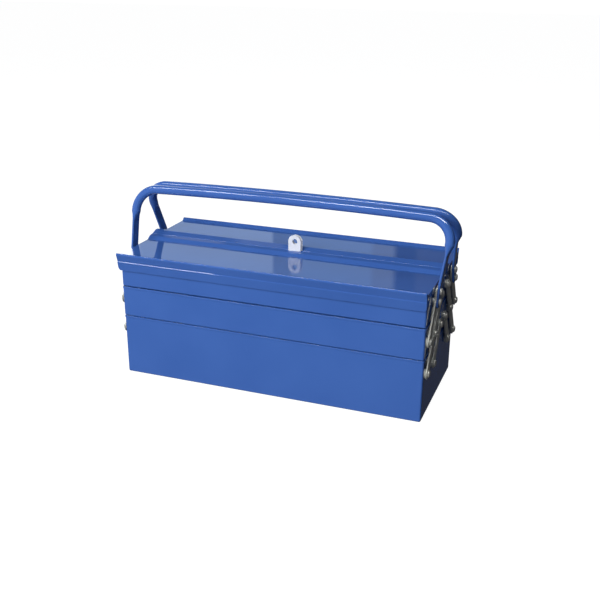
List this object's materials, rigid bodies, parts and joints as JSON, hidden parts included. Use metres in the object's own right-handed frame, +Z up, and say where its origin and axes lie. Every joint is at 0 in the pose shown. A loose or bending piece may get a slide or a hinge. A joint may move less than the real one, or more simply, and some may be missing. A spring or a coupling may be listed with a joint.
{
  "type": "cantilever tool box",
  "caption": "Closed steel cantilever tool box: deep base, two middle trays, two lidded top trays on swing links, twin bent-tube handles, padlock eyes.",
  "frame": {"origin": "middle of the underside, on the surface the box stands on", "axes": "+X along the box's length to the right, +Y to the rear, +Z up"},
  "size_m": [0.5172, 0.2244, 0.2918],
  "materials": {
    "blue_paint": "high gloss blue enamel on folded sheet steel",
    "zinc_steel": "dull zinc-plated flat strip",
    "rivet_steel": "plated rivet steel",
    "hasp_zinc": "bright zinc plate"
  },
  "bodies": {
    "base": {"base_box": "blue_paint", "base_pivot_rivets": "rivet_steel", "base_pivot_washers": "zinc_steel"},
    "front_long_links": {"front_long_link_left": "zinc_steel", "front_long_link_right": "zinc_steel"},
    "front_short_links": {"front_short_link_left": "zinc_steel", "front_short_link_right": "zinc_steel"},
    "front_middle_tray": {"front_middle_tray": "blue_paint", "front_middle_tray_rivets": "rivet_steel", "front_middle_tray_washers": "zinc_steel"},
    "front_top_tray": {"front_top_tray": "blue_paint", "front_top_tray_rivets": "rivet_steel", "front_top_tray_washers": "zinc_steel", "front_hinge_leaf_tray": "blue_paint", "front_hinge_pin": "rivet_steel"},
    "front_lid": {"front_lid": "blue_paint", "front_hinge_leaf_lid": "blue_paint", "front_hasp_eye": "hasp_zinc", "front_hasp_rivets": "rivet_steel"},
    "front_handle": {"front_handle": "blue_paint", "front_handle_rivets": "rivet_steel", "front_handle_link_left": "zinc_steel", "front_handle_link_right": "zinc_steel"},
    "rear_long_links": {"rear_long_link_left": "zinc_steel", "rear_long_link_right": "zinc_steel"},
    "rear_short_links": {"rear_short_link_left": "zinc_steel", "rear_short_link_right": "zinc_steel"},
    "rear_middle_tray": {"rear_middle_tray": "blue_paint", "rear_middle_tray_rivets": "rivet_steel", "rear_middle_tray_washers": "zinc_steel"},
    "rear_top_tray": {"rear_top_tray": "blue_paint", "rear_top_tray_rivets": "rivet_steel", "rear_top_tray_washers": "zinc_steel", "rear_hinge_leaf_tray": "blue_paint", "rear_hinge_pin": "rivet_steel"},
    "rear_lid": {"rear_lid": "blue_paint", "rear_hinge_leaf_lid": "blue_paint", "rear_hasp_eye": "hasp_zinc", "rear_hasp_rivets": "rivet_steel"},
    "rear_handle": {"rear_handle": "blue_paint", "rear_handle_rivets": "rivet_steel", "rear_handle_link_left": "zinc_steel", "rear_handle_link_right": "zinc_steel"}
  },
  "joints": [
    {"name": "front_swing", "type": "hinge", "parent": "base", "child": "front_long_links", "pos_m": [0, -0.089, 0.074], "axis": [1, 0, 0], "range_deg": [0, 68]},
    {"name": "front_short_link_swing", "type": "hinge", "parent": "base", "child": "front_short_links", "pos_m": [0, -0.05, 0.074], "axis": [1, 0, 0], "range_deg": [0, 68]},
    {"name": "front_middle_tray_pivot", "type": "hinge", "parent": "front_long_links", "child": "front_middle_tray", "pos_m": [0, -0.056, 0.123], "axis": [1, 0, 0], "range_deg": [-68, 0]},
    {"name": "front_top_tray_pivot", "type": "hinge", "parent": "front_long_links", "child": "front_top_tray", "pos_m": [0, -0.023, 0.172], "axis": [1, 0, 0], "range_deg": [-68, 0]},
    {"name": "front_handle_swing", "type": "hinge", "parent": "front_middle_tray", "child": "front_handle", "pos_m": [0, -0.09, 0.123], "axis": [1, 0, 0], "range_deg": [0, 68]},
    {"name": "front_lid_hinge", "type": "hinge", "parent": "front_top_tray", "child": "front_lid", "pos_m": [0, -0.1039, 0.176], "axis": [1, 0, 0], "range_deg": [0, 90]},
    {"name": "rear_swing", "type": "hinge", "parent": "base", "child": "rear_long_links", "pos_m": [0, 0.089, 0.074], "axis": [-1, 0, 0], "range_deg": [0, 68]},
    {"name": "rear_short_link_swing", "type": "hinge", "parent": "base", "child": "rear_short_links", "pos_m": [0, 0.05, 0.074], "axis": [-1, 0, 0], "range_deg": [0, 68]},
    {"name": "rear_middle_tray_pivot", "type": "hinge", "parent": "rear_long_links", "child": "rear_middle_tray", "pos_m": [0, 0.056, 0.123], "axis": [-1, 0, 0], "range_deg": [-68, 0]},
    {"name": "rear_top_tray_pivot", "type": "hinge", "parent": "rear_long_links", "child": "rear_top_tray", "pos_m": [0, 0.023, 0.172], "axis": [-1, 0, 0], "range_deg": [-68, 0]},
    {"name": "rear_handle_swing", "type": "hinge", "parent": "rear_middle_tray", "child": "rear_handle", "pos_m": [0, 0.09, 0.123], "axis": [-1, 0, 0], "range_deg": [0, 68]},
    {"name": "rear_lid_hinge", "type": "hinge", "parent": "rear_top_tray", "child": "rear_lid", "pos_m": [0, 0.1039, 0.176], "axis": [-1, 0, 0], "range_deg": [0, 90]}
  ],
  "couplings": [
    {"joint": "front_short_link_swing", "follows": "front_swing", "ratio": 1},
    {"joint": "front_middle_tray_pivot", "follows": "front_swing", "ratio": -1},
    {"joint": "front_top_tray_pivot", "follows": "front_swing", "ratio": -1},
    {"joint": "front_handle_swing", "follows": "front_swing", "ratio": 1},
    {"joint": "rear_short_link_swing", "follows": "rear_swing", "ratio": 1},
    {"joint": "rear_middle_tray_pivot", "follows": "rear_swing", "ratio": -1},
    {"joint": "rear_top_tray_pivot", "follows": "rear_swing", "ratio": -1},
    {"joint": "rear_handle_swing", "follows": "rear_swing", "ratio": 1}
  ]
}
